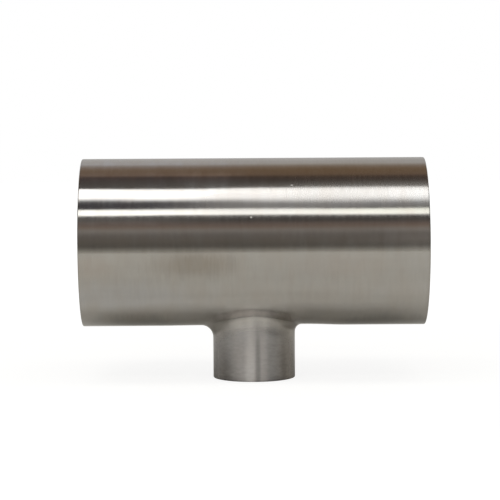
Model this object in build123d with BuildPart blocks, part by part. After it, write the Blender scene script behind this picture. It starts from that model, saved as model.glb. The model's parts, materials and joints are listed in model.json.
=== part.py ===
from build123d import *
import os

# Reducing weld tee: a straight run of tube with a smaller branch pulled out of its middle.
# The origin is where the two centre lines cross. The run lies along X, the branch points down along -Z,
# and the tee stands on the branch's end. All sizes are in millimetres.

os.makedirs("parts", exist_ok=True)

# Tube sizes
run_od = 51.0
run_wall = 1.6
branch_od = 25.0
branch_wall = 1.6

# Lengths: the run from end to end, and the branch from the run's centre line to its own end
run_length = 104.0
branch_reach = 41.5

# Outside radius of the neck, where the branch was pulled out of the run
neck_radius = 3.0

# Rounding left by deburring on both corners of each end, and the most of a wall that one corner may take
end_rounding = 0.3
corner_share_of_wall = 0.4

# The passage is carried this far past the ends, so that it opens them cleanly
passage_overrun = 2.0

# Radii of the outside and of the passage
run_outer_radius = run_od / 2
run_bore_radius = run_outer_radius - run_wall
branch_outer_radius = branch_od / 2
branch_bore_radius = branch_outer_radius - branch_wall

# The wall follows the neck round, so the passage's neck is larger by the wall
passage_neck_radius = neck_radius + branch_wall

corner_radius = min(end_rounding, corner_share_of_wall * min(run_wall, branch_wall))


def pulled_tee(run_radius, branch_radius, saddle_radius, overrun=0.0):
    """A solid run with a solid branch below it, blended along the saddle where the two meet."""
    with BuildPart() as tee:
        with BuildSketch(Plane.YZ.offset(-run_length / 2 - overrun)):
            Circle(run_radius)
        extrude(amount=run_length + 2 * overrun)

        with BuildSketch(Plane.XY):
            Circle(branch_radius)
        extrude(amount=-branch_reach - overrun)

        # The saddle is the only edge that is neither straight nor a circle
        plain_edges = (GeomType.LINE, GeomType.CIRCLE)
        saddle = tee.edges().filter_by(lambda edge: edge.geom_type not in plain_edges)
        fillet(saddle, radius=saddle_radius)
    return tee.part


outside = pulled_tee(run_outer_radius, branch_outer_radius, neck_radius)
passage = pulled_tee(run_bore_radius, branch_bore_radius, passage_neck_radius, passage_overrun)

with BuildPart() as tee_body:
    add(outside)
    add(passage, mode=Mode.SUBTRACT)

    # The three ends are cut square, then deburred inside and outside
    run_ends = tee_body.faces().filter_by(Axis.X)
    branch_end = tee_body.faces().filter_by(Axis.Z).sort_by(Axis.Z)[:1]
    fillet((run_ends + branch_end).edges(), radius=corner_radius)

tee_body.part.label = "tee_body"
export_step(tee_body.part, "parts/tee_body.step")
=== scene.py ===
import json
import math

import bmesh
import bpy
from mathutils import Matrix, Vector


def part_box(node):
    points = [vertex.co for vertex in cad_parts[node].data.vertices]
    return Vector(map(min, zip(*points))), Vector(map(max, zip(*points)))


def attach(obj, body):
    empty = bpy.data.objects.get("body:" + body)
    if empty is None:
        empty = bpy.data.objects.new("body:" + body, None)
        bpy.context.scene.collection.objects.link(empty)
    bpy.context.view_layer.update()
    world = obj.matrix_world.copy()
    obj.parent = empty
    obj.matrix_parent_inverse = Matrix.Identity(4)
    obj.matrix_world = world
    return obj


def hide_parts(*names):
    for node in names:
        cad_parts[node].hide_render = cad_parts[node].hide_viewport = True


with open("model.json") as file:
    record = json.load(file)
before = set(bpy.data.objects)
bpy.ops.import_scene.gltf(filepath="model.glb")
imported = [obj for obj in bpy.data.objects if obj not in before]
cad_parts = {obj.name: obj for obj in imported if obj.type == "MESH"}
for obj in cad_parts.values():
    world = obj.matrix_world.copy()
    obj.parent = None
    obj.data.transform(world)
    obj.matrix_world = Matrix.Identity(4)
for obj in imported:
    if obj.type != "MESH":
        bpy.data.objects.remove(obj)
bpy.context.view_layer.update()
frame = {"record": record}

# Reducing weld tee in satin stainless steel: a run of tube with a smaller branch pulled out below it.
# All lengths are in metres. The centre lines cross at the origin.
# The run lies along X, and the branch points down.

# Sizes of the two tubes, read from the frame
mounts = {mount["name"]: mount for mount in frame["record"]["mounts"]}
teeLow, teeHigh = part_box("tee_body")
runRadius = teeHigh.y
runHalf = teeHigh.x
branchEnd = teeLow.z
wall = runRadius - mounts["run_bore"]["dims"]["r_mm"] / 1000
branchRadius = mounts["branch_bore"]["dims"]["r_mm"] / 1000 + wall
print("tee: frame loaded")


# The tee's body

teeBody = {
    "facesRound": 128,  # round the run, and round the branch
    "neckRadius": 0.0029,  # outside radius of the pulled neck, halfway between its left and its right
    "neckUneven": 0.0008,  # how much softer the neck is on its left side, and tighter on its right
    "neckFront": 0.0026,  # how much softer it is at its front and back
    "neckFrontPower": 10,  # how closely that keeps to the front and back
    "neckRows": 10,
    "patchRows": 8,  # between the neck and the plain grid of the run
    "branchRows": 12,
    "drawnIn": (0.0001, 0.0003),  # how far forming drew the run in to the left and right of the neck
    "drawnReach": 0.013,  # how far along the run that goes
    "drawnBelow": (0.5, 0.95),  # shares of the run's radius below its centre line, between which it sets in
    "drawnBeside": 0.3,  # share of the branch's radius from which it sets in sideways
    "grainTurns": (0.001, 0.006),  # below the neck's upper edge, where the run's grain becomes the branch's
    "endRows": (0.0011, 0.0005),  # rows this near each end, so that its rounding doesn't pull at the shading
    "mergeWithin": 0.000001,  # points nearer than this are one
    "cornerRounding": 0.0003,  # deburred corners
    "cornerSegments": 3,
    "cornerAngle": 60,  # degrees, from which an edge is a corner
}


def easeBetween(value, low, high):
    share = max(0.0, min(1.0, (value - low) / (high - low)))
    return share * share * (3 - 2 * share)


def neckPoint(azimuth, share):
    # A ball rolled along the corner of the two tubes draws the neck.
    # Share 0 is where it touches the run, and share 1 where it touches the branch.
    softer = teeBody["neckFront"] * abs(math.sin(azimuth)) ** teeBody["neckFrontPower"]
    softer -= teeBody["neckUneven"] * math.cos(azimuth)
    radius = teeBody["neckRadius"] + softer
    outward = Vector((math.cos(azimuth), math.sin(azimuth), 0))
    centre = outward * (branchRadius + radius)
    centre.z = -math.sqrt((runRadius + radius) ** 2 - centre.y**2)
    towardsRun = -Vector((0, centre.y, centre.z)).normalized()
    return centre + towardsRun.slerp(-outward, share) * radius


def edgesAmong(verts):
    chosen = set(verts)
    return list({edge for vert in verts for edge in vert.link_edges if chosen.issuperset(edge.verts)})


def spinRun(mesh, windowHalf):
    # One line of points along the run, spun round its centre line. A square window stays open for the neck.
    cells = teeBody["facesRound"] // 4
    cell = 2 * windowHalf / cells
    outerCells = math.ceil((runHalf - windowHalf) / cell)
    outerCell = (runHalf - windowHalf) / outerCells
    middle = [-windowHalf + cell * count for count in range(cells + 1)]
    right = [windowHalf + outerCell * count for count in range(1, outerCells)]
    right = sorted(right + [runHalf - inset for inset in (*teeBody["endRows"], 0)])
    places = [-place for place in reversed(right)] + middle + right
    tip = mesh.verts.new((places[0], 0, -runRadius))
    for place in places[1:]:
        tip = bmesh.ops.extrude_vert_indiv(mesh, verts=[tip])["verts"][0]
        tip.co.x = place
    bmesh.ops.spin(
        mesh, geom=mesh.verts[:] + mesh.edges[:], cent=(0, 0, 0), axis=(1, 0, 0),
        angle=2 * math.pi, steps=teeBody["facesRound"], use_merge=True,
    )
    bmesh.ops.remove_doubles(mesh, verts=mesh.verts[:], dist=teeBody["mergeWithin"])
    windowFaces = []
    for face in mesh.faces:
        centre = face.calc_center_median()
        if abs(centre.x) < windowHalf and centre.z < -abs(centre.y):
            windowFaces.append(face)
    windowEdges = {edge for face in windowFaces for edge in face.edges}
    windowEdges = [edge for edge in windowEdges if not set(edge.link_faces).issubset(windowFaces)]
    bmesh.ops.delete(mesh, geom=windowFaces, context="FACES")
    return windowEdges


def drawOut(mesh, edges):
    # One more row of faces. Its new ring keeps the layer values of the ring that it was drawn from.
    made = bmesh.ops.extrude_edge_only(mesh, edges=edges)["geom"]
    ring = [item for item in made if isinstance(item, bmesh.types.BMVert)]
    return ring, edgesAmong(ring)


def drawNeckAndBranch(mesh, turn, onBranch):
    # A ring on the run is drawn down round the neck, and then straight along the branch
    ring = bmesh.ops.create_circle(mesh, cap_ends=False, radius=1.0, segments=teeBody["facesRound"])["verts"]
    for vert in ring:
        vert[turn] = math.atan2(vert.co.y, vert.co.x)
        vert.co = neckPoint(vert[turn], 0)
    firstEdges = edgesAmong(ring)
    edges = firstEdges
    for row in range(teeBody["neckRows"]):
        ring, edges = drawOut(mesh, edges)
        share = (row + 1) / teeBody["neckRows"]
        for vert in ring:
            vert.co = neckPoint(vert[turn], share)
            vert[onBranch] = share
    endRows = sorted(teeBody["endRows"], reverse=True)
    rowsStop = branchEnd + 2 * endRows[0]  # leaves room for the end rows
    for row in range(teeBody["branchRows"]):
        ring, edges = drawOut(mesh, edges)
        share = (row + 1) / teeBody["branchRows"]
        for vert in ring:
            neckFoot = neckPoint(vert[turn], 1).z
            vert.co.z = neckFoot + (rowsStop - neckFoot) * share
    for inset in endRows + [0]:
        ring, edges = drawOut(mesh, edges)
        for vert in ring:
            vert.co.z = branchEnd + inset
    return firstEdges


def joinPatch(mesh, windowEdges, ringEdges):
    # Faces from the window to the neck's first ring, laid on the run's surface
    faces = bmesh.ops.bridge_loops(mesh, edges=windowEdges + ringEdges)["faces"]
    ring = {vert for edge in ringEdges for vert in edge.verts}
    rungs = {edge for face in faces for edge in face.edges if len(ring.intersection(edge.verts)) == 1}
    cuts = teeBody["patchRows"] - 1
    split = bmesh.ops.subdivide_edges(mesh, edges=list(rungs), cuts=cuts, use_grid_fill=True)
    for vert in {item for item in split["geom_inner"] if isinstance(item, bmesh.types.BMVert)}:
        scale = runRadius / math.hypot(vert.co.y, vert.co.z)
        vert.co.y *= scale
        vert.co.z *= scale


def drawInBesideNeck(mesh, onBranch):
    # Forming pulls the run in a little on each side of the neck
    left, right = teeBody["drawnIn"]
    below = [share * runRadius for share in teeBody["drawnBelow"]]
    for vert in mesh.verts:
        clear = abs(vert.co.x) - branchRadius - teeBody["neckRadius"]
        pull = right if vert.co.x > 0 else left
        pull *= 1 - easeBetween(clear, 0, teeBody["drawnReach"])
        pull *= easeBetween(-vert.co.z, *below)
        pull *= easeBetween(abs(vert.co.x), teeBody["drawnBeside"] * branchRadius, branchRadius)
        pull *= 1 - vert[onBranch]
        vert.co += Vector((0, -vert.co.y, -vert.co.z)).normalized() * pull


def turnGrain(mesh, onBranch, grainTurn):
    # The finishes read this: 0 on the run, 1 on the branch
    for vert in mesh.verts:
        if vert[onBranch] > 0:
            drop = neckPoint(math.atan2(vert.co.y, vert.co.x), 0).z - vert.co.z
            vert[grainTurn] = easeBetween(drop, *teeBody["grainTurns"])


def shapeTee():
    mesh = bmesh.new()
    layers = mesh.verts.layers.float
    turn, onBranch, grainTurn = [layers.new(name) for name in ("turn", "onBranch", "grainTurn")]
    windowHalf = runRadius * math.pi / 4  # as long along the run as a quarter of the way round it
    windowEdges = spinRun(mesh, windowHalf)
    ringEdges = drawNeckAndBranch(mesh, turn, onBranch)
    joinPatch(mesh, windowEdges, ringEdges)
    drawInBesideNeck(mesh, onBranch)
    turnGrain(mesh, onBranch, grainTurn)
    for name in ("turn", "onBranch"):
        layers.remove(layers[name])
    bmesh.ops.remove_doubles(mesh, verts=mesh.verts[:], dist=teeBody["mergeWithin"])
    bmesh.ops.recalc_face_normals(mesh, faces=mesh.faces[:])
    topFace = max(mesh.faces, key=lambda face: face.calc_center_median().z)
    if topFace.normal.z < 0:  # an open tube can come out facing inwards
        bmesh.ops.reverse_faces(mesh, faces=mesh.faces[:])
    for face in mesh.faces:
        face.smooth = True
    data = bpy.data.meshes.new("tee_skin")
    mesh.to_mesh(data)
    mesh.free()
    return data


def makeTeeBody(finishes):
    # The finishes are those of the outside, the passage and the cut ends, in this order
    data = shapeTee()
    for finish in finishes:
        data.materials.append(finish)
    piece = bpy.data.objects.new("tee_skin", data)
    bpy.context.scene.collection.objects.link(piece)

    thickness = piece.modifiers.new("wall", "SOLIDIFY")
    thickness.thickness = wall
    thickness.offset = -1
    thickness.use_even_offset = True
    thickness.use_rim = True
    thickness.material_offset = 1
    thickness.material_offset_rim = 2
    rounding = piece.modifiers.new("deburred corners", "BEVEL")
    rounding.width = teeBody["cornerRounding"]
    rounding.segments = teeBody["cornerSegments"]
    rounding.limit_method = "ANGLE"
    rounding.angle_limit = math.radians(teeBody["cornerAngle"])
    rounding.harden_normals = True
    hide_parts("tee_body")
    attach(piece, "root")


# Nodes

def feed(tree, socket, value):
    if isinstance(value, bpy.types.NodeSocket):
        tree.links.new(value, socket)
    else:
        socket.default_value = value


def addNode(tree, kind, inputs=(), **settings):
    node = tree.nodes.new(kind)
    for name, value in settings.items():
        setattr(node, name, value)
    for name, value in dict(inputs).items():
        feed(tree, node.inputs[name], value)
    return node


def addMath(tree, operation, *values, clamp=False):
    node = addNode(tree, "ShaderNodeMath", operation=operation, use_clamp=clamp)
    for socket, value in zip(node.inputs, values):
        feed(tree, socket, value)
    return node.outputs[0]


def addVectorMath(tree, operation, *values):
    node = addNode(tree, "ShaderNodeVectorMath", operation=operation)
    sockets = [socket for socket in node.inputs if socket.enabled]
    for socket, value in zip(sockets, values):
        feed(tree, socket, value)
    return node.outputs["Value" if operation == "LENGTH" else "Vector"]


def addRange(tree, value, low, high, start=0.0, end=1.0):
    # From start to end, gently, as the value goes from low to high
    ends = {"Value": value, "From Min": low, "From Max": high, "To Min": start, "To Max": end}
    return addNode(tree, "ShaderNodeMapRange", ends, interpolation_type="SMOOTHSTEP").outputs["Result"]


def addMix(tree, share, first, second):
    return addMath(tree, "MULTIPLY_ADD", addMath(tree, "SUBTRACT", second, first), share, first)


def addColourMix(tree, share, first, second):
    ends = {"Factor": share}
    for name, colour in (("A", first), ("B", second)):
        ends[name] = colour if isinstance(colour, bpy.types.NodeSocket) else (*colour, 1)
    return addNode(tree, "ShaderNodeMix", ends, data_type="RGBA").outputs["Result"]


def scaleParts(tree, place, factors):
    return addVectorMath(tree, "MULTIPLY", place, factors)


def startGroup(name, inputs, outputs):
    tree = bpy.data.node_groups.new(name, "ShaderNodeTree")
    for label, kind in inputs.items():
        tree.interface.new_socket(name=label, in_out="INPUT", socket_type="NodeSocket" + kind)
    for label, kind in outputs.items():
        tree.interface.new_socket(name=label, in_out="OUTPUT", socket_type="NodeSocket" + kind)
    return tree, addNode(tree, "NodeGroupInput").outputs, addNode(tree, "NodeGroupOutput").inputs


def addGroup(tree, group, **inputs):
    return addNode(tree, "ShaderNodeGroup", inputs, node_tree=group).outputs[0]


# Effects that the finishes share

def buildGrainLines():
    # Fine parallel lines, about -1 to 1
    # Across and Along are the parts of a place across and along the lines
    inputs = {"Across": "Vector", "Along": "Vector", "Spacing": "Float", "Length": "Float"}
    tree, given, out = startGroup("grain lines", inputs, {"Lines": "Float"})
    across = addVectorMath(tree, "DIVIDE", given["Across"], given["Spacing"])
    along = addVectorMath(tree, "DIVIDE", given["Along"], given["Length"])
    place = addVectorMath(tree, "ADD", across, along)
    noise = addNode(tree, "ShaderNodeTexNoise", {"Vector": place, "Scale": 1, "Detail": 3, "Roughness": 0.6})
    contrast = 4
    feed(tree, out["Lines"], addMath(tree, "MULTIPLY_ADD", noise.outputs["Fac"], contrast, -contrast / 2))
    return tree


def buildClouds():
    # Soft clouds from 0 to 1, for what handling, washing and uneven buffing leave
    tree, given, out = startGroup("clouds", {"Place": "Vector", "Size": "Float"}, {"Cloud": "Float"})
    place = addVectorMath(tree, "DIVIDE", given["Place"], given["Size"])
    noise = addNode(tree, "ShaderNodeTexNoise", {"Vector": place, "Scale": 1, "Detail": 3, "Roughness": 0.45})
    contrast = 3
    spread = addMath(tree, "MULTIPLY_ADD", noise.outputs["Fac"], contrast, (1 - contrast) / 2, clamp=True)
    feed(tree, out["Cloud"], spread)
    return tree


def buildEndShade():
    # Painted shade along the rims of the three ends, from 0 to 1
    inputs = {"Place": "Vector", "RunHalf": "Float", "BranchEnd": "Float", "Reach": "Float", "Cloud": "Float"}
    tree, given, out = startGroup("end painted shade", inputs, {"EndShade": "Float"})
    parts = addNode(tree, "ShaderNodeSeparateXYZ", {"Vector": given["Place"]}).outputs
    fromRunEnd = addMath(tree, "SUBTRACT", given["RunHalf"], addMath(tree, "ABSOLUTE", parts["X"]))
    fromBranchEnd = addMath(tree, "SUBTRACT", parts["Z"], given["BranchEnd"])
    nearest = addMath(tree, "MINIMUM", fromRunEnd, fromBranchEnd)
    leastReach = 0.3  # share of Reach that is shaded where there is no cloud
    reach = addMath(tree, "MULTIPLY", given["Reach"], addMath(tree, "ADD", given["Cloud"], leastReach))
    feed(tree, out["EndShade"], addRange(tree, nearest, 0.0, reach, 1.0, 0.0))
    return tree


def buildSpot():
    # One soft-edged spot round Centre. Size is its half width each way, and Uneven makes its edge ragged.
    inputs = {"Place": "Vector", "Centre": "Vector", "Size": "Vector", "Uneven": "Float"}
    tree, given, out = startGroup("spot", inputs, {"Spot": "Float"})
    offset = addVectorMath(tree, "SUBTRACT", given["Place"], given["Centre"])
    away = addVectorMath(tree, "LENGTH", addVectorMath(tree, "DIVIDE", offset, given["Size"]))
    away = addMath(tree, "ADD", away, given["Uneven"])
    full, gone = 0.25, 1.15  # shares of Size up to which the spot is 1, and from which it is 0
    feed(tree, out["Spot"], addRange(tree, away, full, gone, 1.0, 0.0))
    return tree


grainLines = buildGrainLines()
clouds = buildClouds()
endShadeGroup = buildEndShade()
spot = buildSpot()

# Which parts of a place (x, y, z) lie along each tube, and which lie round it
alongRun, roundRun = (1, 0, 0), (0, 1, 1)
alongBranch, roundBranch = (0, 0, 1), (1, 1, 0)


def addLines(tree, place, across, along, spacing, length):
    across = scaleParts(tree, place, across)
    along = scaleParts(tree, place, along)
    return addGroup(tree, grainLines, Across=across, Along=along, Spacing=spacing, Length=length)


def startSteel(name, settings):
    material = bpy.data.materials.new(name)
    material.use_nodes = True
    tree = material.node_tree
    shader = tree.nodes["Principled BSDF"]
    shader.inputs["Metallic"].default_value = 1
    shader.inputs["Anisotropic"].default_value = settings["anisotropic"]
    place = addNode(tree, "ShaderNodeTexCoord").outputs["Object"]
    onBranch = addNode(tree, "ShaderNodeAttribute", attribute_name="grainTurn").outputs["Fac"]
    return material, tree, shader, place, onBranch


def finishSteel(tree, shader, colour, tone, roughness, height):
    feed(tree, shader.inputs["Base Color"], addVectorMath(tree, "MULTIPLY", colour, tone))
    feed(tree, shader.inputs["Roughness"], roughness)
    bump = addNode(tree, "ShaderNodeBump", {"Height": height, "Distance": 1, "Strength": 1})
    feed(tree, shader.inputs["Normal"], bump.outputs["Normal"])


def grainTangent(tree, onBranch):
    # Across a grain that runs round each tube, which is the way its blur goes: X on the run, Z on the branch
    onRun = addMath(tree, "SUBTRACT", 1.0, onBranch)
    lengthwise = addNode(tree, "ShaderNodeCombineXYZ", {"X": onRun, "Z": onBranch})
    return addVectorMath(tree, "NORMALIZE", lengthwise.outputs["Vector"])


# The satin outside

outside = {
    "colour": (0.55, 0.53, 0.50),
    "anisotropic": 1.0,
    "runRoughness": 0.20,
    "branchRoughness": 0.22,
    "branchMetallic": 0.7,  # the branch's ground finish scatters the rest evenly
    "branchTint": (-0.01, 0.0, 0.045),  # how much cooler than the run it looks
    "unevenEdges": 0.6,  # how far long waves shift the edges of stretches and patches
    "coarserFrom": (-0.012, 0.018),  # the upper front was buffed less from here on to the right
    "coarserBand": (0.0165, 0.0070),  # its middle and half width up the front
    "coarserRoughness": 0.075,
    "hazyFrom": (-0.034, -0.002),  # and below that a stretch is hazy
    "hazyBand": (0.0133, 0.0042),
    "haze": 0.37,  # share of the light that it scatters evenly
    "waves": (  # low and high places left by buffing: middle (x, z), half width each way, height
        ((-0.054, 0.0164), (0.020, 0.02, 0.0036), 0.000038),
        ((-0.024, 0.0151), (0.028, 0.02, 0.0027), 0.000028),
        ((0.034, 0.0150), (0.026, 0.02, 0.0045), -0.000019),
        ((-0.050, 0.0117), (0.034, 0.02, 0.0026), -0.000009),
        ((0.045, 0.0080), (0.040, 0.02, 0.0024), 0.000007),
        ((-0.040, 0.0100), (0.026, 0.02, 0.0024), 0.000008),
    ),
    "patchesAndPaintedLight": (  # darker brown places, and painted light and shade: middle (x, z), half width each way, change of colour
        ((-0.0175, -0.0048), (0.0150, 0.010, 0.0052), (-0.22, -0.25, -0.29)),  # darker and browner above the neck
        ((-0.0490, -0.0055), (0.0090, 0.010, 0.0040), (0.0, -0.03, -0.05)),  # fainter ones near the left end
        ((0.0260, -0.0050), (0.0170, 0.010, 0.0042), (-0.02, -0.04, -0.05)),  # and on the right
        ((-0.0400, -0.0145), (0.0280, 0.010, 0.0055), (0.01, 0.025, 0.06)),  # painted reflection, cooler on the lower left
        ((-0.0375, -0.0230), (0.0165, 0.010, 0.0042), (-0.25, -0.25, -0.26)),  # painted shade on the underside, left
        ((0.0440, -0.0243), (0.0330, 0.010, 0.0060), (-0.36, -0.36, -0.37)),  # and right
        ((-0.0020, -0.0213), (0.0090, 0.010, 0.0042), (0.36, 0.36, 0.37)),  # painted highlight round the neck's front
        ((0.0100, -0.0208), (0.0062, 0.010, 0.0027), (0.28, 0.28, 0.28)),
        ((-0.0068, -0.0205), (0.0042, 0.010, 0.0019), (0.17, 0.17, 0.17)),
        ((-0.0112, -0.0238), (0.0038, 0.030, 0.0042), (0.23, 0.23, 0.24)),  # and at the branch's shoulders
        ((0.0114, -0.0232), (0.0032, 0.030, 0.0026), (0.18, 0.18, 0.20)),
        ((0.0100, -0.0370), (0.0042, 0.030, 0.0150), (0.01, -0.03, -0.10)),  # painted reflection, warmer down the branch's sides
        ((-0.0090, -0.0400), (0.0035, 0.030, 0.0070), (0.0, -0.02, -0.05)),
        ((0.0530, 0.0045), (0.0200, 0.030, 0.0062), (0.12, 0.12, 0.12)),  # painted reflection, brighter at the right end
        ((0.0530, 0.0150), (0.0160, 0.030, 0.0030), (0.12, 0.14, 0.16)),
        ((0.0470, 0.0016), (0.0260, 0.030, 0.0026), (0.16, 0.17, 0.20)),
        ((-0.0330, 0.0198), (0.0330, 0.030, 0.0022), (0.18, 0.20, 0.26)),  # painted reflection above the upper band of light
        ((-0.0145, 0.0196), (0.0120, 0.030, 0.0022), (0.28, 0.31, 0.34)),
        ((0.0400, 0.0108), (0.0350, 0.030, 0.0018), (-0.05, -0.04, -0.09)),  # painted reflection, darker in the lower band of light
        ((-0.0450, 0.0225), (0.0450, 0.030, 0.0032), (0.06, 0.11, 0.22)),  # painted reflection along the top, left
        ((0.0260, 0.0225), (0.0330, 0.030, 0.0030), (-0.05, -0.07, -0.12)),  # and right
        ((-0.0450, 0.0083), (0.0300, 0.030, 0.0014), (0.20, 0.20, 0.22)),  # painted reflection below the lower band, left
        ((0.0220, 0.0084), (0.0400, 0.030, 0.0013), (-0.16, -0.17, -0.17)),  # and right
    ),
    "patchEdges": (0.08, 0.24),  # how ragged the grain and the smears make their edges
    "paintedStreaks": (  # painted reflections, and painted shade near the foot, down the branch: middle (x, z), half width and reach, change of tone
        ((-0.0015, -0.0228), (0.0070, 0.0028), -0.14),
        ((-0.0030, -0.0260), (0.0065, 0.0028), 0.05),
        ((0.0022, -0.0240), (0.0062, 0.0024), -0.12),
        ((-0.0088, -0.0250), (0.0030, 0.0030), -0.14),
        ((0.0070, -0.0264), (0.0052, 0.0023), -0.22),
        ((0.0085, -0.0236), (0.0030, 0.0022), 0.10),
        ((-0.0078, -0.0415), (0.0060, 0.0018), -0.15),
        ((0.0080, -0.0415), (0.0055, 0.0018), -0.15),
        ((0.0000, -0.0360), (0.0095, 0.018), 0.09),
        ((-0.0055, -0.0360), (0.0060, 0.015), -0.04),
        ((-0.0012, -0.0370), (0.0021, 0.016), 0.38),
        ((0.0010, -0.0380), (0.0011, 0.015), -0.32),
        ((-0.0096, -0.0365), (0.0042, 0.015), -0.24),
        ((0.0062, -0.0375), (0.0042, 0.016), -0.31),
        ((0.0122, -0.0370), (0.0014, 0.016), -0.30),
        ((-0.0122, -0.0370), (0.0014, 0.016), -0.25),
        ((0.0030, -0.0360), (0.0014, 0.015), 0.10),
        ((0.0098, -0.0340), (0.0024, 0.016), -0.24),
        ((-0.0080, -0.0395), (0.0036, 0.0075), -0.14),
    ),
    "nicks": (  # tiny dents that catch the light: middle (x, z) and radius
        ((-0.0008, 0.0092), 0.00033),
        ((0.0113, 0.0180), 0.00030),
    ),
    "nickDepth": 0.000022,
    "grainSpacing": 0.0007,  # between the scratches, which run round each tube
    "grainLength": 0.006,
    "grainTone": 0.038,  # how much the grain changes the colour
    "grainRoughness": 0.036,
    "grainDepth": 0.0000012,
    "branchGrainLength": 0.0018,
    "branchGrainTone": 0.085,
    "cloudSize": 0.02,
    "cloudTone": 0.05,
    "cloudRoughness": 0.03,
    "waveSize": 0.024,  # long waves that drawing and buffing left in the tube
    "waveDepth": 0.00003,
    "smearSize": 0.010,  # smears round the run, from handling
    "smearStretch": 3.0,
    "smearTone": (-0.03, -0.05, -0.07),
    "polishSize": 0.0022,  # fine streaks along the run, from wiping
    "polishStretch": 8.0,
    "polishTone": 0.03,
    "endShadeReach": 0.0010,  # how far from the ends the rims are darkened, as painted shade
    "endShadeTone": -0.12,
}


def spotOnFront(tree, place, middle, size, uneven=0.0):
    # The middle is (x, z), and lies on the front of the run
    x, z = middle
    centre = (x, -math.sqrt(max(runRadius**2 - z**2, 0)), z)
    return addGroup(tree, spot, Place=place, Centre=centre, Size=size, Uneven=uneven)


def addStretch(tree, place, uneven, ends, band):
    # A stretch along the upper front that begins between two places and goes on to the right end
    sideways = addNode(tree, "ShaderNodeSeparateXYZ", {"Vector": place}).outputs["X"]
    start, end = ends
    begun = addRange(tree, addMath(tree, "MULTIPLY_ADD", uneven, start - end, sideways), start, end)
    middle, halfWidth = band
    farPast = 4  # so far past the tube that only the height counts
    size = (runHalf * farPast, runRadius * farPast, halfWidth)
    return addMath(tree, "MULTIPLY", begun, spotOnFront(tree, place, (0, middle), size, uneven))


def addWaves(tree, place):
    high = 0.0
    for middle, size, rise in outside["waves"]:
        high = addMath(tree, "MULTIPLY_ADD", spotOnFront(tree, place, middle, size), rise, high)
    return high


def addNicks(tree, place):
    nick = 0.0
    for middle, radius in outside["nicks"]:
        nick = addMath(tree, "MAXIMUM", nick, spotOnFront(tree, place, middle, (radius,) * 3))
    return nick


# Painted reflections and shade down the branch
def addPaintedStreaks(tree, place):
    paintedStreaks = 0.0
    for (x, z), (halfWidth, reach), change in outside["paintedStreaks"]:
        centre = (x, -math.sqrt(branchRadius**2 - x**2), z)
        size = (halfWidth, branchRadius, reach)
        made = addGroup(tree, spot, Place=place, Centre=centre, Size=size, Uneven=0.0)
        paintedStreaks = addMath(tree, "MULTIPLY_ADD", made, change, paintedStreaks)
    return paintedStreaks


def addTint(tree, place, onBranch, lines, uneven):
    # What the smears, the branch, the brown places and the painted light and shade do to the plain colour
    stretched = scaleParts(tree, place, (outside["smearStretch"], 1, 1))
    smears = addGroup(tree, clouds, Place=stretched, Size=outside["smearSize"])
    tint = addVectorMath(tree, "MULTIPLY_ADD", smears, outside["smearTone"], (1, 1, 1))
    tint = addVectorMath(tree, "MULTIPLY_ADD", onBranch, outside["branchTint"], tint)
    byGrain, bySmears = outside["patchEdges"]
    ragged = addMath(tree, "MULTIPLY_ADD", lines, byGrain, uneven)
    ragged = addMath(tree, "MULTIPLY_ADD", addMath(tree, "SUBTRACT", smears, 0.5), bySmears, ragged)
    for middle, size, change in outside["patchesAndPaintedLight"]:
        made = spotOnFront(tree, place, middle, size, ragged)
        tint = addVectorMath(tree, "MULTIPLY_ADD", made, change, tint)
    return tint


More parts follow.
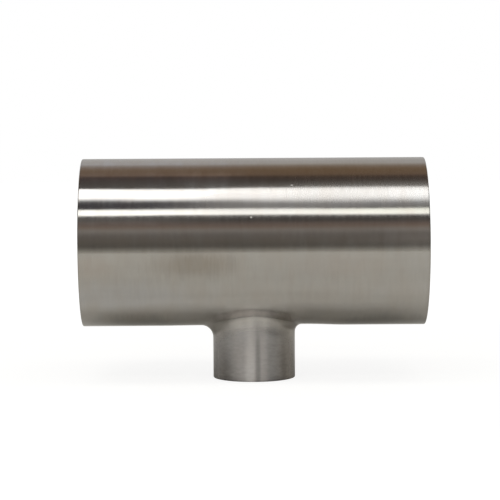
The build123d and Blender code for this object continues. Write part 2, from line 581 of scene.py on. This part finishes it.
def makeOutside():
    material, tree, shader, place, onBranch = startSteel("satin outside", outside)
    feed(tree, shader.inputs["Tangent"], grainTangent(tree, onBranch))

    spacing = outside["grainSpacing"]
    runLines = addLines(tree, place, alongRun, roundRun, spacing, outside["grainLength"])
    branchLines = addLines(tree, place, alongBranch, roundBranch, spacing, outside["branchGrainLength"])
    lines = addMix(tree, onBranch, runLines, branchLines)
    wavePlace = addVectorMath(tree, "DIVIDE", place, (outside["waveSize"],) * 3)
    wave = addNode(tree, "ShaderNodeTexNoise", {"Vector": wavePlace, "Scale": 1, "Detail": 0}).outputs["Fac"]
    uneven = addMath(tree, "MULTIPLY_ADD", wave, outside["unevenEdges"], -outside["unevenEdges"] / 2)
    cloud = addGroup(tree, clouds, Place=place, Size=outside["cloudSize"])
    endShadeMask = addGroup(
        tree, endShadeGroup, Place=place, RunHalf=runHalf, BranchEnd=branchEnd,
        Reach=outside["endShadeReach"], Cloud=cloud,
    )
    lightAndDark = addMath(tree, "SUBTRACT", cloud, 0.5)
    stretched = scaleParts(tree, place, (1 / outside["polishStretch"], 1, 1))
    polish = addGroup(tree, clouds, Place=stretched, Size=outside["polishSize"])
    polish = addMath(tree, "SUBTRACT", polish, 0.5)

    colour = addVectorMath(tree, "MULTIPLY", outside["colour"], addTint(tree, place, onBranch, lines, uneven))
    grainTone = addMix(tree, onBranch, outside["grainTone"], outside["branchGrainTone"])
    tone = addMath(tree, "MULTIPLY_ADD", lines, grainTone, 1.0)
    tone = addMath(tree, "MULTIPLY_ADD", lightAndDark, outside["cloudTone"], tone)
    tone = addMath(tree, "MULTIPLY_ADD", polish, outside["polishTone"], tone)
    # painted reflections and shade down the branch
    tone = addMath(tree, "ADD", tone, addPaintedStreaks(tree, place))
    # painted shade along the rims of the three ends
    tone = addMath(tree, "MULTIPLY_ADD", endShadeMask, outside["endShadeTone"], tone)

    coarser = addStretch(tree, place, uneven, outside["coarserFrom"], outside["coarserBand"])
    roughness = addMix(tree, onBranch, outside["runRoughness"], outside["branchRoughness"])
    roughness = addMath(tree, "MULTIPLY_ADD", coarser, outside["coarserRoughness"], roughness)
    roughness = addMath(tree, "MULTIPLY_ADD", lightAndDark, outside["cloudRoughness"], roughness)
    roughness = addMath(tree, "MULTIPLY_ADD", lines, outside["grainRoughness"], roughness)

    hazy = addStretch(tree, place, uneven, outside["hazyFrom"], outside["hazyBand"])
    metallic = addMix(tree, onBranch, 1.0, outside["branchMetallic"])
    metallic = addMath(tree, "MULTIPLY_ADD", hazy, -outside["haze"], metallic)
    feed(tree, shader.inputs["Metallic"], metallic)

    height = addMath(tree, "MULTIPLY", lines, outside["grainDepth"])
    height = addMath(tree, "MULTIPLY_ADD", wave, outside["waveDepth"], height)
    height = addMath(tree, "ADD", height, addWaves(tree, place))
    height = addMath(tree, "MULTIPLY_ADD", addNicks(tree, place), -outside["nickDepth"], height)
    finishSteel(tree, shader, colour, tone, roughness, height)
    return material


# The passage, which keeps the dull skin and the lengthwise lines of the drawn tube

passage = {
    "colour": (0.50, 0.485, 0.46),
    "anisotropic": 0.8,
    "roughness": 0.34,
    "lineSpacing": 0.0005,
    "lineLength": 0.03,
    "lineTone": 0.05,
    "lineRoughness": 0.05,
    "lineDepth": 0.000002,
    "cloudSize": 0.012,
    "cloudTone": 0.08,
    "cloudRoughness": 0.08,
}


def makePassage():
    material, tree, shader, place, onBranch = startSteel("passage", passage)
    feed(tree, shader.inputs["Tangent"], grainTangent(tree, addMath(tree, "SUBTRACT", 1.0, onBranch)))
    drawn = (passage["lineSpacing"], passage["lineLength"])
    runLines = addLines(tree, place, roundRun, alongRun, *drawn)
    branchLines = addLines(tree, place, roundBranch, alongBranch, *drawn)
    lines = addMix(tree, onBranch, runLines, branchLines)
    cloud = addMath(tree, "SUBTRACT", addGroup(tree, clouds, Place=place, Size=passage["cloudSize"]), 0.5)
    tone = addMath(tree, "MULTIPLY_ADD", lines, passage["lineTone"], 1.0)
    tone = addMath(tree, "MULTIPLY_ADD", cloud, passage["cloudTone"], tone)
    roughness = addMath(tree, "MULTIPLY_ADD", lines, passage["lineRoughness"], passage["roughness"])
    roughness = addMath(tree, "MULTIPLY_ADD", cloud, passage["cloudRoughness"], roughness)
    height = addMath(tree, "MULTIPLY", lines, passage["lineDepth"])
    finishSteel(tree, shader, passage["colour"], tone, roughness, height)
    return material


# The cut ends, with rings round each tube's centre line from facing them square

cutEnds = {
    "colour": (0.60, 0.585, 0.56),
    "anisotropic": 0.7,
    "roughness": 0.28,
    "markSpacing": 0.00012,  # turning marks left by the facing tool
    "markLength": 0.02,
    "markTone": 0.06,
    "markRoughness": 0.06,
    "markDepth": 0.000002,
}


def makeCutEnds():
    material, tree, shader, place, onBranch = startSteel("cut ends", cutEnds)
    runRadial = scaleParts(tree, place, roundRun)
    branchRadial = scaleParts(tree, place, roundBranch)
    fromRun = addVectorMath(tree, "LENGTH", runRadial)
    fromBranch = addVectorMath(tree, "LENGTH", branchRadial)
    away = addNode(tree, "ShaderNodeCombineXYZ", {"X": addMix(tree, onBranch, fromRun, fromBranch)})
    marks = addGroup(
        tree, grainLines, Across=away.outputs["Vector"], Along=place,
        Spacing=cutEnds["markSpacing"], Length=cutEnds["markLength"],
    )
    ends = {"Factor": onBranch, "A": runRadial, "B": branchRadial}
    radial = addNode(tree, "ShaderNodeMix", ends, data_type="VECTOR").outputs["Result"]
    feed(tree, shader.inputs["Tangent"], addVectorMath(tree, "NORMALIZE", radial))
    tone = addMath(tree, "MULTIPLY_ADD", marks, cutEnds["markTone"], 1.0)
    roughness = addMath(tree, "MULTIPLY_ADD", marks, cutEnds["markRoughness"], cutEnds["roughness"])
    height = addMath(tree, "MULTIPLY", marks, cutEnds["markDepth"])
    finishSteel(tree, shader, cutEnds["colour"], tone, roughness, height)
    return material


# The room round the tee

room = {
    "cameraWhite": 1.0,
    "diffuseLight": 0.42,  # what the room gives surfaces that aren't shiny
    "sideShade": 0.35,  # how much darker the room is far to the left and right
    "sideShadeFrom": 0.65,  # how far sideways that sets in, from 0 straight ahead to 1 at the sides
    "zones": (  # degrees up from the front, and on over the top to the back
        (-180, (0.05, 0.05, 0.045)),
        (-9.4, (0.42, 0.41, 0.37)),  # the front edge of the paper on the floor
        (-5.4, (0.23, 0.22, 0.20)),
        (-1.9, (0.125, 0.117, 0.105)),
        (6, (0.16, 0.145, 0.13)),
        (15, (0.18, 0.165, 0.155)),
        (20.5, (0.265, 0.245, 0.23)),
        (24.5, (0.215, 0.165, 0.135)),
        (28.5, (0.17, 0.13, 0.115)),
        (34, (0.085, 0.079, 0.073)),
        (55, (0.062, 0.058, 0.069)),
        (90, (0.098, 0.09, 0.083)),
        (104, (0.065, 0.048, 0.043)),
        (106, (0.09, 0.064, 0.052)),
        (109, (0.20, 0.138, 0.10)),
        (122, (0.215, 0.147, 0.093)),
        (129, (0.27, 0.205, 0.16)),
        (134, (0.345, 0.295, 0.26)),
        (140, (0.50, 0.48, 0.47)),  # the backdrop behind the tee
        (160, (0.50, 0.488, 0.478)),
        (180, (0.46, 0.455, 0.445)),
    ),
}


def fillRamp(node, stops):
    elements = node.color_ramp.elements
    while len(elements) < len(stops):
        elements.new(0.5)
    for element, (place, colour) in zip(elements, stops):
        element.position = place
        element.color = (*colour, 1)


def angleUp(tree, direction):
    # Degrees up from the front, round over the top, and how far the direction goes to the right
    parts = addNode(tree, "ShaderNodeSeparateXYZ", {"Vector": direction}).outputs
    angle = addMath(tree, "ARCTAN2", parts["Z"], addMath(tree, "MULTIPLY", parts["Y"], -1))
    return addMath(tree, "MULTIPLY", angle, math.degrees(1)), parts["X"]


def makeWorld():
    # The camera sees plain white. The steel sees the room, and the pale backdrop behind the tee.
    world = bpy.data.worlds.new("studio room")
    bpy.context.scene.world = world
    world.use_nodes = True
    tree = world.node_tree
    angle, sideways = angleUp(tree, addNode(tree, "ShaderNodeTexCoord").outputs["Generated"])
    # The ramp holds a full turn, with straight ahead in its middle
    ramp = addNode(tree, "ShaderNodeValToRGB", {"Fac": addMath(tree, "MULTIPLY_ADD", angle, 1 / 360, 0.5)})
    fillRamp(ramp, [(degrees / 360 + 0.5, colour) for degrees, colour in room["zones"]])
    sideways = addMath(tree, "ABSOLUTE", sideways)
    shade = addRange(tree, sideways, room["sideShadeFrom"], 1.0, 1.0, 1 - room["sideShade"])
    walls = addVectorMath(tree, "MULTIPLY", ramp.outputs["Color"], shade)

    ray = addNode(tree, "ShaderNodeLightPath").outputs
    shiny = addMath(tree, "MAXIMUM", ray["Is Glossy Ray"], ray["Is Transmission Ray"])
    lit = addColourMix(tree, shiny, (room["diffuseLight"],) * 3, walls)
    seen = addColourMix(tree, ray["Is Camera Ray"], lit, (room["cameraWhite"],) * 3)
    feed(tree, tree.nodes["Background"].inputs["Color"], seen)


# The lamps

softboxes = {
    "upper": {
        "degrees": (56.8, 82.0),  # low and high edge, up from the front, seen from the tee
        "softEdges": (10.5, 1.0),  # degrees over which each edge fades
        "distance": 0.55,
        "length": 0.74,
        "middle": -0.05,  # how far to the right of the tee
        # its strength at places from its left end, 0, to its right end, 1
        "along": ((0, 0.3), (0.1, 1), (0.55, 1), (0.75, 0.85), (0.9, 0.8), (1, 0.3)),
        "brightness": 2.45,  # as a colour seen in the steel, where 1 is white
        "colour": (0.985, 1, 1.02),
    },
    "lower": {
        "degrees": (40.2, 49.6),
        "softEdges": (1.5, 0.5),
        "distance": 0.60,
        "length": 0.90,
        "middle": -0.06,
        "along": ((0, 0.3), (0.1, 1), (0.5, 1), (0.75, 0.74), (0.9, 0.74), (1, 0.3)),
        "brightness": 2.4,
        "colour": (1, 1.02, 1.005),
    },
    "above": {
        "degrees": (82, 98),
        "softEdges": (1, 15),
        "distance": 0.57,
        "length": 0.5,
        "middle": 0.32,
        "along": ((0, 0), (0.2, 1), (1, 1)),
        "brightness": 0.55,
        "colour": (1, 0.98, 0.95),
    },
    "left": {
        "degrees": (10, 40),
        "softEdges": (8, 0.5),
        "distance": 0.64,
        "length": 0.6,
        "middle": -0.34,
        "along": ((0, 1), (0.7, 1), (1, 0)),
        "brightness": 0.11,
        "colour": (1, 0.98, 0.95),
    },
}


def makeSoftbox(name, settings):
    low, high = settings["degrees"]
    lowSoft, highSoft = settings["softEdges"]
    length = settings["length"]
    depth = 2 * settings["distance"] * math.tan(math.radians((high - low) / 2))
    data = bpy.data.lights.new(name, "AREA")
    data.shape = "RECTANGLE"
    data.size = length
    data.size_y = depth
    data.energy = settings["brightness"] * math.pi * length * depth
    data.color = settings["colour"]
    data.use_nodes = True
    tree = data.node_tree
    angle, across = angleUp(tree, addNode(tree, "ShaderNodeNewGeometry").outputs["Position"])
    lowFade = addRange(tree, angle, low, low + lowSoft)
    highFade = addRange(tree, angle, high - highSoft, high, 1.0, 0.0)
    left = settings["middle"] - length / 2
    share = addMath(tree, "MULTIPLY_ADD", across, 1 / length, -left / length)
    ramp = addNode(tree, "ShaderNodeValToRGB", {"Fac": share})
    fillRamp(ramp, [(place, (value,) * 3) for place, value in settings["along"]])
    strength = addMath(tree, "MULTIPLY", addMath(tree, "MULTIPLY", lowFade, highFade), ramp.outputs["Color"])
    feed(tree, tree.nodes["Emission"].inputs["Strength"], strength)
    lamp = bpy.data.objects.new(name, data)
    bpy.context.scene.collection.objects.link(lamp)
    up = math.radians((low + high) / 2)
    away = Vector((0, -math.cos(up), math.sin(up)))
    lamp.location = away * settings["distance"] + Vector((settings["middle"], 0, 0))
    lamp.rotation_euler = away.to_track_quat("Z", "Y").to_euler()


# The floor

floorSheet = {
    "frontReach": 0.25,
    "backReach": 1.2,
    "halfWidth": 0.9,
    "colour": (0.77, 0.75, 0.70),
    "litInSteel": (  # light on the paper that the steel shows: middle (x, y), half width, brightness
        ((-0.012, -0.016), (0.065, 0.012), 0.09),
        ((0.020, -0.036), (0.075, 0.013), 0.03),
    ),
    "shadeInSteel": (  # and shade on it, behind the tee and round the branch's foot: how much it takes
        ((0.0, 0.30), (0.16, 0.22), 0.6),
        ((0.0, -0.0115), (0.013, 0.0032), 0.22),
    ),
    "shadowShare": 0.3,  # how strongly the tee's shadow shows on the white floor
    "whiteNear": 0.86,  # the white that the shadow takes from, near the tee
    "shadowReach": (0.12, 0.30),  # where that rises to plain white
}


def spotOnFloor(tree, place, middle, size):
    return addGroup(tree, spot, Place=place, Centre=(*middle, branchEnd), Size=(*size, 1), Uneven=0.0)


def makePaper():
    # The camera sees white with the tee's shadow. The steel sees the paper, with light and shade on it.
    material = bpy.data.materials.new("pale paper")
    material.use_nodes = True
    tree = material.node_tree
    tree.nodes.remove(tree.nodes["Principled BSDF"])
    place = addNode(tree, "ShaderNodeTexCoord").outputs["Object"]
    ray = addNode(tree, "ShaderNodeLightPath").outputs
    shiny = addMath(tree, "MAXIMUM", ray["Is Glossy Ray"], ray["Is Transmission Ray"])
    near, far = floorSheet["shadowReach"]
    white = addRange(tree, addVectorMath(tree, "LENGTH", place), near, far, floorSheet["whiteNear"], 1.0)
    glow = addMath(tree, "MULTIPLY", ray["Is Camera Ray"], white)
    for middle, size, brightness in floorSheet["litInSteel"]:
        lit = addMath(tree, "MULTIPLY", spotOnFloor(tree, place, middle, size), shiny)
        glow = addMath(tree, "MULTIPLY_ADD", lit, brightness, glow)
    light = 1.0
    for middle, size, dim in floorSheet["shadeInSteel"]:
        light = addMath(tree, "MULTIPLY_ADD", spotOnFloor(tree, place, middle, size), -dim, light)
    forSteel = addVectorMath(tree, "SCALE", floorSheet["colour"], light)
    forCamera = [value * floorSheet["shadowShare"] for value in floorSheet["colour"]]
    colour = addColourMix(tree, ray["Is Camera Ray"], forSteel, forCamera)
    both = addNode(tree, "ShaderNodeAddShader")
    feed(tree, both.inputs[0], addNode(tree, "ShaderNodeEmission", {"Color": glow}).outputs[0])
    feed(tree, both.inputs[1], addNode(tree, "ShaderNodeBsdfDiffuse", {"Color": colour}).outputs[0])
    feed(tree, tree.nodes["Material Output"].inputs["Surface"], both.outputs[0])
    return material


def makeFloor():
    mesh = bmesh.new()
    bmesh.ops.create_grid(mesh, x_segments=1, y_segments=1, size=1)
    halfDepth = (floorSheet["frontReach"] + floorSheet["backReach"]) / 2
    bmesh.ops.scale(mesh, vec=(floorSheet["halfWidth"], halfDepth, 1), verts=mesh.verts[:])
    bmesh.ops.translate(mesh, vec=(0, halfDepth - floorSheet["frontReach"], branchEnd), verts=mesh.verts[:])
    data = bpy.data.meshes.new("floor")
    mesh.to_mesh(data)
    mesh.free()
    data.materials.append(makePaper())
    floor = bpy.data.objects.new("floor", data)
    bpy.context.scene.collection.objects.link(floor)


# The camera

cameraPlace = {
    "distance": 0.6803,
    "elevation": 4.373,  # degrees above the run's centre line
    "yaw": -0.397,  # degrees, to the left of straight in front
    "roll": 0.352,
    "lens": 160.44,
    "sensor": 36,
    "aimBelow": 0.00255,  # the photograph has the run a little above and right of its middle
    "aimLeft": 0.00108,
}


def makeCamera():
    elevation = math.radians(cameraPlace["elevation"])
    yaw = math.radians(cameraPlace["yaw"])
    level = math.cos(elevation)
    back = Vector((math.sin(yaw) * level, -math.cos(yaw) * level, math.sin(elevation)))
    place = back * cameraPlace["distance"]
    right = Vector((math.cos(yaw), math.sin(yaw), 0))
    aim = -right * cameraPlace["aimLeft"] - back.cross(right) * cameraPlace["aimBelow"]
    data = bpy.data.cameras.new("camera")
    data.lens = cameraPlace["lens"]
    data.sensor_width = cameraPlace["sensor"]
    camera = bpy.data.objects.new("camera", data)
    bpy.context.scene.collection.objects.link(camera)
    pointed = (aim - place).to_track_quat("-Z", "Y").to_matrix().to_4x4()
    rolled = Matrix.Rotation(-math.radians(cameraPlace["roll"]), 4, "Z")
    camera.matrix_world = Matrix.Translation(place) @ pointed @ rolled
    bpy.context.scene.camera = camera


steelFinishes = [makeOutside(), makePassage(), makeCutEnds()]
print("tee: finishes made")
makeTeeBody(steelFinishes)
print("tee: body made")
makeFloor()
makeWorld()
for name, settings in softboxes.items():
    makeSoftbox(name + " softbox", settings)
makeCamera()
bpy.context.scene.view_settings.view_transform = "Standard"
print("tee: studio set")
